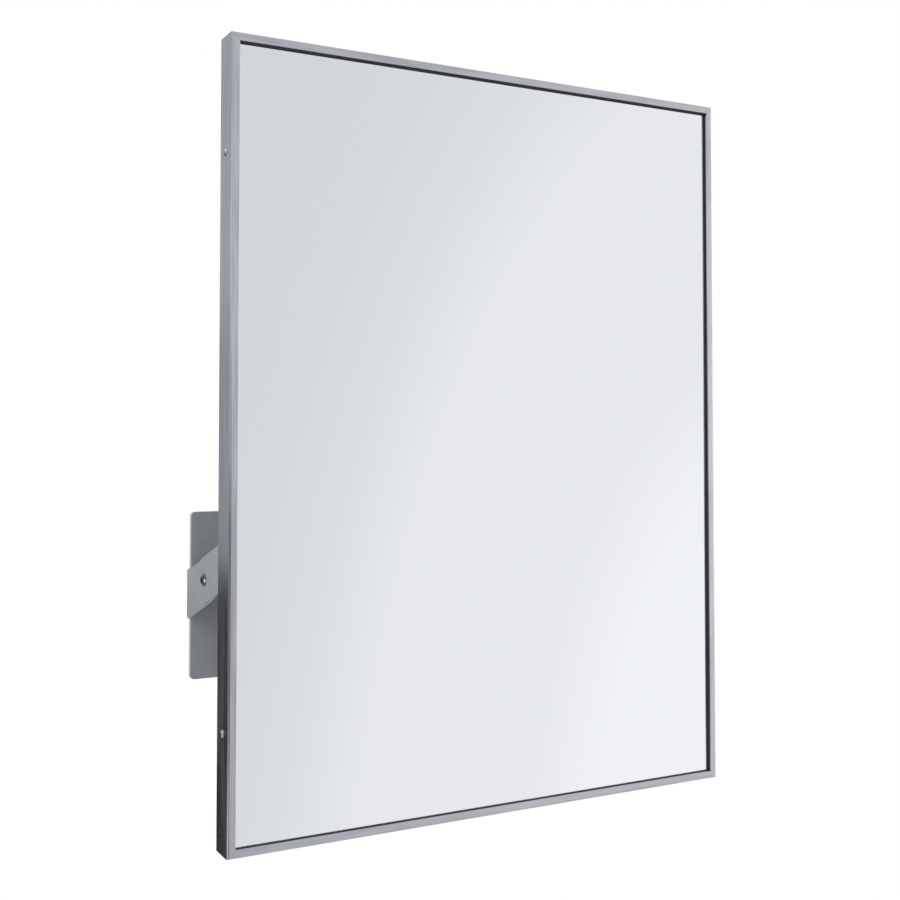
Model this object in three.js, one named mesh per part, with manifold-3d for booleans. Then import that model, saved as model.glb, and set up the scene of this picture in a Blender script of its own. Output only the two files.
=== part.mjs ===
// Pivot wall mirror: a framed mirror that tilts on two pivots in front of a wall plate.
// Millimetres. X runs to the right, -Y to the front and +Z up. The origin is the centre of the
// wall plate's back face, so the plane Y = 0 is the wall.

import * as THREE from 'three';
import { mergeVertices } from 'three/addons/utils/BufferGeometryUtils.js';
import Module from 'manifold-3d';

const wasm = await Module();
wasm.setup();

// ---- Driving dimensions ----

// The mirror
const MIRROR_WIDTH = 450;
const MIRROR_HEIGHT = 600;
const MIRROR_FRONT = 119;          // from the wall to the front of the frame
const MIRROR_RISE = 125;           // centre of the mirror above the centre of the wall plate

// The frame's four rails, folded from one strip of sheet
const FRAME_DEPTH = 25;
const FRAME_SHEET = 1.2;
const LIP_WIDTH = 6.3;             // front lip that holds the glass in
const FOLD_RADIUS = 1.8;           // outer radius between side wall and lip
const MITRE_GAP = 0.08;            // half of the hairline joint at each corner

// Black glazing strips between the lip and the glass
const GLASS_RECESS = 3.4;          // front of the glass behind the front of the frame
const GLAZING_STRIP_WIDTH = 4;
const GLAZING_STRIP_SETBACK = 0.2; // from the lip's inner edge

// What the frame holds, from the front to the back
const GLASS_THICKNESS = 4;
const BOARD_THICKNESS = 3;
const EDGE_CLEARANCE = 0.6;        // glass and board inside the rails
const TRAY_SHEET = 1;
const TRAY_CLEARANCE = 0.3;        // tray flanges inside the rails
const TRAY_CORNER_RADIUS = 2;

// Screws through the rails into the tray's flanges, two on each side
const FRAME_SCREW_FROM_END = 87.5;
const FRAME_SCREW_RADIUS = 1.45;
const FRAME_SCREW_LENGTH = 9.5;
const FRAME_SCREW_HEAD_RADIUS = 2.7;
const FRAME_SCREW_HEAD_HEIGHT = 1.5;

// The two pairs of arms
const ARM_SHEET = 2;
const ARM_INSET = 2;               // mirror arm's outer face inside the frame's side face
const ARM_END_RADIUS = 17;
const ARM_RISE_ANGLE = THREE.MathUtils.degToRad(18.5);   // mirror arm, up towards the mirror
const ARM_FOLD_RADIUS = 3;
const MIRROR_ARM_FOOT_WIDTH = 38;
const WALL_ARM_BACK_TOP = 20.5;
const WALL_ARM_BACK_BOTTOM = -18.5;
const WALL_ARM_CORNER_CUT = 2;

// The pivot
const PIVOT_FROM_WALL = 54;
const PIVOT_HEIGHT = 18.3;
const PIVOT_BOLT_RADIUS = 2.5;
const PIVOT_HOLE_RADIUS = 2.59;
const PIVOT_BOLT_LENGTH = 12;
const PIVOT_HEAD_RADIUS = 4.75;
const PIVOT_HEAD_HEIGHT = 2.75;
const PIVOT_SOCKET_FLATS = 3;
const PIVOT_SOCKET_DEPTH = 1.6;
const RUNNING_GAP = 0.1;
const FRICTION_WASHER_THICKNESS = 0.5;
const FRICTION_WASHER_RADIUS = 12;
const WASHER_THICKNESS = 1;
const WASHER_RADIUS = 5;
const NUT_FLATS = 8;
const NUT_HEIGHT = 3.8;
const NUT_COLLAR_RADIUS = 3.4;
const NUT_COLLAR_HEIGHT = 1.2;

// Screws that hold each mirror arm's foot to the tray
const ARM_SCREW_SPACING = 20;
const ARM_SCREW_RADIUS = 2.5;
const ARM_SCREW_HOLE_RADIUS = 2.75;
const ARM_SCREW_LENGTH = 10;
const ARM_SCREW_HEAD_RADIUS = 4.75;
const ARM_SCREW_HEAD_HEIGHT = 2.75;
const ARM_SCREW_SOCKET_FLATS = 3;
const ARM_SCREW_SOCKET_DEPTH = 1.6;
const WELD_NUT_FLATS = 8;
const WELD_NUT_HEIGHT = 4;

// The wall plate
const PLATE_HEIGHT = 134;
const PLATE_THICKNESS = 4;
const PLATE_CORNER_RADIUS = 3.5;
const PLATE_HOLE_RADIUS = 3.5;
const PLATE_HOLE_SPACING_X = 360;
const PLATE_HOLE_SPACING_Z = 90;

// Clearance of a screw's thread in the hole that it is screwed into
const THREAD_CLEARANCE = 0.1;

// How finely the round shapes are cut
const ROUND_SEGMENTS = 32;
const SMALL_ROUND_SEGMENTS = 16;
const FOLD_SEGMENTS = 6;
const DOME_STEPS = 4;

// ---- Places worked out from the dimensions ----

const GLASS_BACK = GLASS_RECESS + GLASS_THICKNESS;
const BOARD_BACK = GLASS_BACK + BOARD_THICKNESS;
const MIRROR_BACK_Y = FRAME_DEPTH - MIRROR_FRONT;
const PIVOT_Y = -PIVOT_FROM_WALL;
const MIRROR_ARM_OUTER = MIRROR_WIDTH / 2 - ARM_INSET;
const MIRROR_ARM_INNER = MIRROR_ARM_OUTER - ARM_SHEET;
const WALL_ARM_OUTER = MIRROR_ARM_INNER - RUNNING_GAP - FRICTION_WASHER_THICKNESS;
const WALL_ARM_INNER = WALL_ARM_OUTER - ARM_SHEET;
const NUT_SEAT = WALL_ARM_INNER - WASHER_THICKNESS;
const ARM_SCREW_X = MIRROR_ARM_OUTER - MIRROR_ARM_FOOT_WIDTH / 2;
const FOOT_RISE = (PIVOT_Y - MIRROR_BACK_Y) * Math.tan(ARM_RISE_ANGLE);
const FOOT_CENTRE_Z = PIVOT_HEIGHT + FOOT_RISE;
const FOOT_HALF_HEIGHT = ARM_END_RADIUS / Math.cos(ARM_RISE_ANGLE);

// ---- Materials ----

const metal = (color, roughness) => new THREE.MeshStandardMaterial({ color, roughness, metalness: 1 });
const coating = (color, roughness) => new THREE.MeshStandardMaterial({ color, roughness, metalness: 0 });

const satinSteel = metal(0xb4b6bc, 0.32);
const silveredGlass = metal(0xdfe3e8, 0.03);
const blackRubber = coating(0x2b2627, 0.85);
const hardboard = coating(0x6b4a32, 0.8);
const galvanisedSteel = metal(0xa3a8ac, 0.5);
const greyPaint = coating(0x9499a0, 0.5);
const screwSteel = metal(0xc8cacd, 0.25);
const darkSteel = metal(0x4b4a4e, 0.35);
const zincSteel = metal(0xb9bcc0, 0.35);
const palePlastic = coating(0xe6e6e2, 0.5);

// ---- Solids, cuts and joins ----

function toSolid(geometry) {
  const bare = geometry.index ? geometry.toNonIndexed() : geometry.clone();
  bare.deleteAttribute('normal');
  bare.deleteAttribute('uv');
  const merged = mergeVertices(bare, 1e-4);
  const mesh = new wasm.Mesh({
    numProp: 3,
    vertProperties: merged.attributes.position.array,
    triVerts: new Uint32Array(merged.index.array),
  });
  return new wasm.Manifold(mesh);
}

function toGeometry(solid) {
  const mesh = solid.getMesh();
  const geometry = new THREE.BufferGeometry();
  geometry.setAttribute('position', new THREE.BufferAttribute(mesh.vertProperties, 3));
  geometry.setIndex(new THREE.BufferAttribute(mesh.triVerts, 1));
  geometry.computeVertexNormals();
  return geometry;
}

const cut = (geometry, tools) =>
  toGeometry(tools.reduce((solid, tool) => solid.subtract(toSolid(tool)), toSolid(geometry)));

const common = (a, b) => toGeometry(toSolid(a).intersect(toSolid(b)));

const join = (a, b) => toGeometry(toSolid(a).add(toSolid(b)));

// An outline drawn in the Y-Z plane, pulled along X from one place to another.
function extrudeAlongX(shape, from, to) {
  const low = Math.min(from, to);
  const geometry = new THREE.ExtrudeGeometry(shape, {
    depth: Math.abs(to - from),
    bevelEnabled: false,
    curveSegments: ROUND_SEGMENTS / 2,
  });
  const turn = new THREE.Matrix4().makeBasis(
    new THREE.Vector3(0, 1, 0),
    new THREE.Vector3(0, 0, 1),
    new THREE.Vector3(1, 0, 0),
  );
  return geometry.applyMatrix4(turn).translate(low, 0, 0);
}

// A round bar along X, Y or Z that runs between two places on that axis.
function bar(axis, from, to, radius, segments = ROUND_SEGMENTS) {
  const geometry = new THREE.CylinderGeometry(radius, radius, Math.abs(to - from), segments);
  geometry.translate(0, (from + to) / 2, 0);
  if (axis === 'x') geometry.rotateZ(-Math.PI / 2);
  if (axis === 'z') geometry.rotateX(Math.PI / 2);
  return geometry;
}

// A six-sided bar up Z that measures a given size across its flats.
function hexagonalBar(flats, from, to) {
  const geometry = new THREE.CylinderGeometry(flats / Math.sqrt(3), flats / Math.sqrt(3), to - from, 6);
  return geometry.rotateX(Math.PI / 2).translate(0, 0, (from + to) / 2);
}

// A ring round Z.
function ring(inner, outer, from, to, segments = ROUND_SEGMENTS) {
  const corners = [[inner, from], [outer, from], [outer, to], [inner, to], [inner, from]];
  const profile = corners.map(([radius, height]) => new THREE.Vector2(radius, height));
  return new THREE.LatheGeometry(profile, segments).rotateX(Math.PI / 2);
}

// A screw up Z with its head above Z = 0: a low dome on a short straight rim, and a plain shank
// with a small chamfer at its tip.
function domedScrew({ headRadius, headHeight, radius, length, segments }) {
  const rim = headHeight * 0.25;
  const crownRadius = headRadius * 0.45;
  const tip = [[0, -length], [radius * 0.7, -length], [radius, -length + radius * 0.4]];
  const profile = [...tip, [radius, 0], [headRadius, 0]];
  for (let step = 0; step <= DOME_STEPS; step += 1) {
    const angle = (step / DOME_STEPS) * (Math.PI / 2);
    const spread = crownRadius + (headRadius - crownRadius) * Math.cos(angle);
    profile.push([spread, rim + (headHeight - rim) * Math.sin(angle)]);
  }
  profile.push([0, headHeight]);
  const points = profile.map(([x, y]) => new THREE.Vector2(x, y));
  return new THREE.LatheGeometry(points, segments).rotateX(Math.PI / 2);
}

// ---- The scene graph ----

const group = new THREE.Group();
const wallBracket = new THREE.Group();
const mirror = new THREE.Group();
mirror.position.set(0, -MIRROR_FRONT, MIRROR_RISE);
group.add(wallBracket, mirror);

function addPart(parent, name, geometry, material) {
  const mesh = new THREE.Mesh(geometry, material);
  mesh.name = name;
  parent.add(mesh);
  return mesh;
}

const SIDES = [['left', -1], ['right', 1]];

// ---- Frame rails and glazing strips ----

// In both sections u runs inwards from the rail's outer face and v backwards from the front.

function railSection() {
  const innerFold = FOLD_RADIUS - FRAME_SHEET;
  const shape = new THREE.Shape();
  shape.moveTo(0, FRAME_DEPTH);
  shape.lineTo(0, FOLD_RADIUS);
  shape.absarc(FOLD_RADIUS, FOLD_RADIUS, FOLD_RADIUS, Math.PI, Math.PI * 1.5, false);
  shape.lineTo(LIP_WIDTH, 0);
  shape.lineTo(LIP_WIDTH, FRAME_SHEET);
  shape.lineTo(FOLD_RADIUS, FRAME_SHEET);
  shape.absarc(FOLD_RADIUS, FOLD_RADIUS, innerFold, Math.PI * 1.5, Math.PI, true);
  shape.lineTo(FRAME_SHEET, FRAME_DEPTH);
  return shape;
}

function glazingStripSection() {
  const inner = LIP_WIDTH - GLAZING_STRIP_SETBACK;
  const outer = inner - GLAZING_STRIP_WIDTH;
  const shape = new THREE.Shape();
  shape.moveTo(outer, FRAME_SHEET);
  shape.lineTo(inner, FRAME_SHEET);
  shape.lineTo(inner, GLASS_RECESS);
  shape.lineTo(outer, GLASS_RECESS);
  return shape;
}

// A strip along X with its outer face at Z = 0, mitred at both ends.
function mitredStrip(section, length) {
  const geometry = new THREE.ExtrudeGeometry(section, {
    depth: length,
    bevelEnabled: false,
    curveSegments: FOLD_SEGMENTS,
  });
  const place = geometry.attributes.position;
  for (let i = 0; i < place.count; i += 1) {
    const inwards = place.getX(i);
    const backwards = place.getY(i);
    const end = place.getZ(i) > length / 2 ? 1 : -1;
    place.setXYZ(i, end * (length / 2 - inwards - MITRE_GAP), backwards, -inwards);
  }
  return geometry;
}

const frameScrewHole = (from, to) =>
  bar('z', from, to, FRAME_SCREW_RADIUS + THREAD_CLEARANCE, SMALL_ROUND_SEGMENTS);

const frameScrewPlaces = (length) => [-1, 1].map((end) => end * (length / 2 - FRAME_SCREW_FROM_END));

const RAILS = [
  { name: 'top', length: MIRROR_WIDTH, turn: 0, ends: ['left', 'right'] },
  { name: 'right', length: MIRROR_HEIGHT, turn: Math.PI / 2, ends: ['upper', 'lower'] },
  { name: 'bottom', length: MIRROR_WIDTH, turn: Math.PI, ends: ['right', 'left'] },
  { name: 'left', length: MIRROR_HEIGHT, turn: -Math.PI / 2, ends: ['lower', 'upper'] },
];

for (const rail of RAILS) {
  const side = new THREE.Group();
  const outward = rail.length === MIRROR_WIDTH ? MIRROR_HEIGHT / 2 : MIRROR_WIDTH / 2;
  side.rotation.y = rail.turn;
  side.position.set(Math.sin(rail.turn) * outward, 0, Math.cos(rail.turn) * outward);
  const holes = frameScrewPlaces(rail.length).map((along) =>
    frameScrewHole(-FRAME_SHEET - 1, 1).translate(along, FRAME_DEPTH / 2, 0));
  const railGeometry = cut(mitredStrip(railSection(), rail.length), holes);
  addPart(side, `frame_rail_${rail.name}`, railGeometry, satinSteel);
  addPart(side, `glazing_strip_${rail.name}`, mitredStrip(glazingStripSection(), rail.length), blackRubber);
  frameScrewPlaces(rail.length).forEach((along, i) => {
    const geometry = domedScrew({
      headRadius: FRAME_SCREW_HEAD_RADIUS,
      headHeight: FRAME_SCREW_HEAD_HEIGHT,
      radius: FRAME_SCREW_RADIUS,
      length: FRAME_SCREW_LENGTH,
      segments: SMALL_ROUND_SEGMENTS,
    });
    const screw = addPart(side, `frame_screw_${rail.name}_${rail.ends[i]}`, geometry, screwSteel);
    screw.position.set(along, FRAME_DEPTH / 2, 0);
  });
  mirror.add(side);
}

// ---- Glass, board and back tray ----

function panel(thickness, front) {
  const inset = 2 * (FRAME_SHEET + EDGE_CLEARANCE);
  const geometry = new THREE.BoxGeometry(MIRROR_WIDTH - inset, thickness, MIRROR_HEIGHT - inset);
  return geometry.translate(0, front + thickness / 2, 0);
}

addPart(mirror, 'mirror_glass', panel(GLASS_THICKNESS, GLASS_RECESS), silveredGlass);
addPart(mirror, 'backing_board', panel(BOARD_THICKNESS, GLASS_BACK), hardboard);

// A flat outline with round corners in the X-Z plane, pulled along Y from front to back.
function roundedPlate(width, height, radius, front, back) {
  const shape = new THREE.Shape();
  const x = width / 2 - radius;
  const z = height / 2 - radius;
  shape.absarc(x, z, radius, 0, Math.PI / 2, false);
  shape.absarc(-x, z, radius, Math.PI / 2, Math.PI, false);
  shape.absarc(-x, -z, radius, Math.PI, Math.PI * 1.5, false);
  shape.absarc(x, -z, radius, -Math.PI / 2, 0, false);
  const geometry = new THREE.ExtrudeGeometry(shape, {
    depth: back - front,
    bevelEnabled: false,
    curveSegments: FOLD_SEGMENTS,
  });
  return geometry.rotateX(Math.PI / 2).translate(0, back, 0);
}

const trayWidth = MIRROR_WIDTH - 2 * (FRAME_SHEET + TRAY_CLEARANCE);
const trayHeight = MIRROR_HEIGHT - 2 * (FRAME_SHEET + TRAY_CLEARANCE);
const trayHollow = roundedPlate(
  trayWidth - 2 * TRAY_SHEET,
  trayHeight - 2 * TRAY_SHEET,
  TRAY_CORNER_RADIUS - TRAY_SHEET,
  BOARD_BACK - 1,
  FRAME_DEPTH - TRAY_SHEET,
);
const trayTools = [trayHollow];
for (const rail of RAILS) {
  const outward = rail.length === MIRROR_WIDTH ? trayHeight / 2 : trayWidth / 2;
  for (const along of frameScrewPlaces(rail.length)) {
    const hole = frameScrewHole(outward - 3, outward + 3);
    trayTools.push(hole.translate(along, FRAME_DEPTH / 2, 0).rotateY(rail.turn));
  }
}

// Heights of the arm screws above the centre of the mirror
const armScrewHeights = [['upper', 1], ['lower', -1]].map(([place, way]) =>
  [place, FOOT_CENTRE_Z - MIRROR_RISE + (way * ARM_SCREW_SPACING) / 2]);

for (const [, side] of SIDES) {
  for (const [, height] of armScrewHeights) {
    const hole = bar('y', FRAME_DEPTH - 4, FRAME_DEPTH + 4, ARM_SCREW_HOLE_RADIUS, SMALL_ROUND_SEGMENTS);
    trayTools.push(hole.translate(side * ARM_SCREW_X, 0, height));
  }
}
const trayBlank = roundedPlate(trayWidth, trayHeight, TRAY_CORNER_RADIUS, BOARD_BACK, FRAME_DEPTH);
addPart(mirror, 'back_tray', cut(trayBlank, trayTools), galvanisedSteel);

// ---- Mirror arms ----

// Side view of a mirror arm in Y-Z: a round end on the pivot, and straight edges up to the foot.
function mirrorArmOutline() {
  const upperTangent = Math.PI / 2 - ARM_RISE_ANGLE;
  const shape = new THREE.Shape();
  shape.moveTo(MIRROR_BACK_Y, FOOT_CENTRE_Z - FOOT_HALF_HEIGHT);
  shape.lineTo(MIRROR_BACK_Y, FOOT_CENTRE_Z + FOOT_HALF_HEIGHT);
  shape.absarc(PIVOT_Y, PIVOT_HEIGHT, ARM_END_RADIUS, upperTangent, upperTangent - Math.PI, true);
  return shape;
}

// Seen from above in X-Y: a strip of sheet folded into an L, its foot flat on the tray.
function foldedStrip(side, bottom, top) {
  const back = PIVOT_Y + ARM_END_RADIUS + 1;
  const outer = MIRROR_ARM_OUTER;
  const innerFold = ARM_FOLD_RADIUS - ARM_SHEET;
  const foldX = outer - ARM_FOLD_RADIUS;
  const foldY = MIRROR_BACK_Y + ARM_FOLD_RADIUS;
  const shape = new THREE.Shape();
  shape.moveTo(outer - MIRROR_ARM_FOOT_WIDTH, MIRROR_BACK_Y);
  shape.lineTo(foldX, MIRROR_BACK_Y);
  shape.absarc(foldX, foldY, ARM_FOLD_RADIUS, -Math.PI / 2, 0, false);
  shape.lineTo(outer, back);
  shape.lineTo(outer - ARM_SHEET, back);
  shape.lineTo(outer - ARM_SHEET, foldY);
  shape.absarc(foldX, foldY, innerFold, 0, -Math.PI / 2, true);
  shape.lineTo(outer - MIRROR_ARM_FOOT_WIDTH, MIRROR_BACK_Y + ARM_SHEET);
  const geometry = new THREE.ExtrudeGeometry(shape, {
    depth: top - bottom,
    bevelEnabled: false,
    curveSegments: FOLD_SEGMENTS,
  });
  geometry.translate(0, 0, bottom);
  return side > 0 ? geometry : mirrored(geometry);
}

// The same piece for the other side: X changes sign and each triangle turns round.
function mirrored(geometry) {
  const place = geometry.attributes.position;
  for (let i = 0; i < place.count; i += 3) {
    const [a, b, c] = [0, 1, 2].map((k) => new THREE.Vector3().fromBufferAttribute(place, i + k));
    [a, c, b].forEach((corner, k) => place.setXYZ(i + k, -corner.x, corner.y, corner.z));
  }
  return geometry;
}

// A hole on the pivot's axis that passes through one arm.
const pivotHole = (side, inner, outer) =>
  bar('x', side * (inner - 2), side * (outer + 2), PIVOT_HOLE_RADIUS).translate(0, PIVOT_Y, PIVOT_HEIGHT);

const armOutline = mirrorArmOutline();
for (const [sideName, side] of SIDES) {
  const strip = foldedStrip(side, PIVOT_HEIGHT - 2 * ARM_END_RADIUS, FOOT_CENTRE_Z + 2 * ARM_END_RADIUS);
  const footEnd = MIRROR_ARM_OUTER - MIRROR_ARM_FOOT_WIDTH - 1;
  const sideView = extrudeAlongX(armOutline, side * footEnd, side * (MIRROR_ARM_OUTER + 1));
  const tools = [pivotHole(side, MIRROR_ARM_INNER, MIRROR_ARM_OUTER)];
  for (const [, height] of armScrewHeights) {
    const hole = bar('y', MIRROR_BACK_Y - 4, MIRROR_BACK_Y + 4, ARM_SCREW_HOLE_RADIUS, SMALL_ROUND_SEGMENTS);
    tools.push(hole.translate(side * ARM_SCREW_X, 0, height + MIRROR_RISE));
  }
  const arm = addPart(mirror, `mirror_arm_${sideName}`, cut(common(strip, sideView), tools), greyPaint);
  arm.position.set(0, MIRROR_FRONT, -MIRROR_RISE);
}

// ---- Screws and weld nuts of the mirror arms ----

for (const [sideName, side] of SIDES) {
  for (const [place, height] of armScrewHeights) {
    const screwGeometry = cut(
      domedScrew({
        headRadius: ARM_SCREW_HEAD_RADIUS,
        headHeight: ARM_SCREW_HEAD_HEIGHT,
        radius: ARM_SCREW_RADIUS,
        length: ARM_SCREW_LENGTH,
        segments: SMALL_ROUND_SEGMENTS,
      }),
      [hexagonalBar(
        ARM_SCREW_SOCKET_FLATS,
        ARM_SCREW_HEAD_HEIGHT - ARM_SCREW_SOCKET_DEPTH,
        ARM_SCREW_HEAD_HEIGHT + 1,
      )],
    );
    const screw = addPart(mirror, `arm_screw_${sideName}_${place}`, screwGeometry, zincSteel);
    screw.rotation.x = -Math.PI / 2;
    screw.position.set(side * ARM_SCREW_X, FRAME_DEPTH + ARM_SHEET, height);

    const nutGeometry = cut(
      hexagonalBar(WELD_NUT_FLATS, -WELD_NUT_HEIGHT, 0),
      [bar('z', -WELD_NUT_HEIGHT - 1, 1, ARM_SCREW_RADIUS + THREAD_CLEARANCE, SMALL_ROUND_SEGMENTS)],
    );
    const nut = addPart(mirror, `weld_nut_${sideName}_${place}`, nutGeometry, zincSteel);
    nut.rotation.x = -Math.PI / 2;
    nut.position.set(side * ARM_SCREW_X, FRAME_DEPTH - TRAY_SHEET, height);
  }
}

// ---- Wall plate and wall arms ----

const plateHoles = [-1, 1].flatMap((across) => [-1, 1].map((up) =>
  bar('y', -PLATE_THICKNESS - 1, 1, PLATE_HOLE_RADIUS)
    .translate((across * PLATE_HOLE_SPACING_X) / 2, 0, (up * PLATE_HOLE_SPACING_Z) / 2)));
const plateBlank = roundedPlate(2 * WALL_ARM_INNER, PLATE_HEIGHT, PLATE_CORNER_RADIUS, -PLATE_THICKNESS, 0);
addPart(wallBracket, 'wall_plate', cut(plateBlank, plateHoles), greyPaint);

// Side view of a wall arm in Y-Z: a back edge on the wall, and two edges tangent to the round end.
function wallArmOutline() {
  const centre = new THREE.Vector2(PIVOT_Y, PIVOT_HEIGHT);
  const tangentAngle = (corner, way) => {
    const reach = corner.clone().sub(centre);
    return reach.angle() + way * Math.acos(ARM_END_RADIUS / reach.length());
  };
  const top = new THREE.Vector2(0, WALL_ARM_BACK_TOP);
  const bottom = new THREE.Vector2(-WALL_ARM_CORNER_CUT, WALL_ARM_BACK_BOTTOM);
  const shape = new THREE.Shape();
  shape.moveTo(0, WALL_ARM_BACK_BOTTOM + WALL_ARM_CORNER_CUT);
  shape.lineTo(top.x, top.y);
  shape.absarc(PIVOT_Y, PIVOT_HEIGHT, ARM_END_RADIUS, tangentAngle(top, 1), tangentAngle(bottom, -1), false);
  shape.lineTo(bottom.x, bottom.y);
  return shape;
}

const wallArmShape = wallArmOutline();
for (const [sideName, side] of SIDES) {
  const blank = extrudeAlongX(wallArmShape, side * WALL_ARM_INNER, side * WALL_ARM_OUTER);
  const arm = cut(blank, [pivotHole(side, WALL_ARM_INNER, WALL_ARM_OUTER)]);
  addPart(wallBracket, `wall_arm_${sideName}`, arm, greyPaint);
}

// ---- Pivots ----

const nutTop = NUT_HEIGHT + NUT_COLLAR_HEIGHT;
const nutCollar = bar('z', NUT_HEIGHT - 1, nutTop, NUT_COLLAR_RADIUS);
const nutBore = bar('z', -1, nutTop + 1, PIVOT_BOLT_RADIUS + THREAD_CLEARANCE);
const lockNut = cut(join(hexagonalBar(NUT_FLATS, 0, NUT_HEIGHT), nutCollar), [nutBore]);
const pivotBolt = cut(
  domedScrew({
    headRadius: PIVOT_HEAD_RADIUS,
    headHeight: PIVOT_HEAD_HEIGHT,
    radius: PIVOT_BOLT_RADIUS,
    length: PIVOT_BOLT_LENGTH,
    segments: ROUND_SEGMENTS,
  }),
  [hexagonalBar(PIVOT_SOCKET_FLATS, PIVOT_HEAD_HEIGHT - PIVOT_SOCKET_DEPTH, PIVOT_HEAD_HEIGHT + 1)],
);
const frictionWasher = ring(PIVOT_HOLE_RADIUS, FRICTION_WASHER_RADIUS, 0, FRICTION_WASHER_THICKNESS);
const plainWasher = ring(PIVOT_HOLE_RADIUS, WASHER_RADIUS, 0, WASHER_THICKNESS);

for (const [sideName, side] of SIDES) {
  const pivot = new THREE.Group();
  pivot.position.set(0, PIVOT_Y, PIVOT_HEIGHT);
  pivot.rotation.y = (side * Math.PI) / 2;
  wallBracket.add(pivot);
  const stack = [
    ['pivot_bolt', pivotBolt, darkSteel, MIRROR_ARM_OUTER + RUNNING_GAP],
    ['friction_washer', frictionWasher, palePlastic, WALL_ARM_OUTER],
    ['pivot_washer', plainWasher, zincSteel, NUT_SEAT],
  ];
  for (const [name, geometry, material, outward] of stack) {
    addPart(pivot, `${name}_${sideName}`, geometry, material).position.z = outward;
  }
  const nut = addPart(pivot, `lock_nut_${sideName}`, lockNut, zincSteel);
  nut.rotation.x = Math.PI;
  nut.position.z = NUT_SEAT;
}

export default group;
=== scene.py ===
# %% [markdown]
# # A pivot wall mirror, dressed in Blender
# The mirror hangs in a satin stainless frame. Two arms on its back turn on two bolts in front of
# a grey wall plate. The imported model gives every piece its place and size, so this lesson only
# gives each piece its fine shape (folds, rounded edges, threads, recesses) and its finish.
# Everything is in metres: X runs to the right, -Y to the front, +Z up, and the wall is Y = 0.

# %% Load the frame
import math

import bmesh
import bpy
from mathutils import Matrix, Vector


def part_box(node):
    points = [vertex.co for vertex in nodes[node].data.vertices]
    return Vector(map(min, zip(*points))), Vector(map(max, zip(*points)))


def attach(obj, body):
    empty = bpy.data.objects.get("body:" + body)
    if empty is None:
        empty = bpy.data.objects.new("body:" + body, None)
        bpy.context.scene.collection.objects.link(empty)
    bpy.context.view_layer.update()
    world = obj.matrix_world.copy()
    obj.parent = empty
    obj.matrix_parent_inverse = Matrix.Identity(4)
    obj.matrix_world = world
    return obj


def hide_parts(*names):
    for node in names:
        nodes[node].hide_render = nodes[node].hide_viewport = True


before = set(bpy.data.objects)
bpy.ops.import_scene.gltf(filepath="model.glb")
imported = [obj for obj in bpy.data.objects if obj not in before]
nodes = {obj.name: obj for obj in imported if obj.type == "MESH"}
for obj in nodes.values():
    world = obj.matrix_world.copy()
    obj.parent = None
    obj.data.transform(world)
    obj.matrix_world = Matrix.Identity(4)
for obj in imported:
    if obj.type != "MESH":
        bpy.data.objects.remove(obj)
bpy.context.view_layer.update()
MM = 0.001

# %% [markdown]
# ## The camera
# The camera stands a little left of the mirror, about a metre away, and looks right by 28.5
# degrees. It was fitted to the four front corners of the frame in the 900 x 900 photograph.
# A camera in Blender looks along its own -Z, so a level camera is first tipped up by 90 degrees.
# The point straight ahead of that camera isn't in the photograph's middle, and the lens shift
# makes up for that.

# %% Camera
PHOTO_SIDE = 900
FOCAL_PIXELS = 1240
PHOTO_CENTRE = (453.3, 390.4)
SENSOR_WIDTH = 36
CAMERA_PLACE = Vector((-0.5115, -0.9843, 0.1315))
CAMERA_YAW = math.radians(28.54)
CAMERA_PITCH = math.radians(1.92)

camera_data = bpy.data.cameras.new("photo_camera")
camera_data.sensor_width = SENSOR_WIDTH
camera_data.lens = SENSOR_WIDTH * FOCAL_PIXELS / PHOTO_SIDE
camera_data.shift_x = (PHOTO_SIDE / 2 - PHOTO_CENTRE[0]) / PHOTO_SIDE
camera_data.shift_y = (PHOTO_CENTRE[1] - PHOTO_SIDE / 2) / PHOTO_SIDE
camera = bpy.data.objects.new("photo_camera", camera_data)
camera.location = CAMERA_PLACE
camera.rotation_euler = (math.pi / 2 + CAMERA_PITCH, 0, -CAMERA_YAW)
bpy.context.scene.collection.objects.link(camera)
bpy.context.scene.camera = camera
bpy.context.scene.view_settings.view_transform = "Standard"
print("camera lens", round(camera_data.lens, 1), "mm, shift", round(camera_data.shift_y, 3))

# %% [markdown]
# ## Two helpers for materials
# Colours are written as sRGB hex codes, as a paint chart gives them, and turned to the linear
# numbers that Blender computes with. The second helper adds any node with its inputs and
# settings, so that a material reads as a list of its nodes. An input gets a plain value, or
# another node, which is then linked to it.

# %% Colour and node helpers
def linear(code):
    """An sRGB hex colour such as "9aa0a8" as linear red, green, blue and alpha."""
    channels = [int(code[i:i + 2], 16) / 255 for i in (0, 2, 4)]
    return [c / 12.92 if c <= 0.04045 else ((c + 0.055) / 1.055) ** 2.4 for c in channels] + [1.0]


def add_node(tree, kind, inputs=(), stops=(), **settings):
    """Adds a node. inputs gives sockets, by name or number, a value, a node or an output.
    stops are (position, hex colour) pairs of a ramp, and settings are the node's properties."""
    node = tree.nodes.new(kind)
    for name, value in settings.items():
        setattr(node, name, value)
    for name, value in dict(inputs).items():
        source = value.outputs[0] if isinstance(value, bpy.types.Node) else value
        if isinstance(source, bpy.types.NodeSocket):
            tree.links.new(source, node.inputs[name])
        else:
            node.inputs[name].default_value = source
    if stops:
        elements = node.color_ramp.elements
        while len(elements) < len(stops):
            elements.new(1.0)
        for element, (position, code) in zip(elements, stops):
            element.position = position
            element.color = linear(code)
    return node


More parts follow.
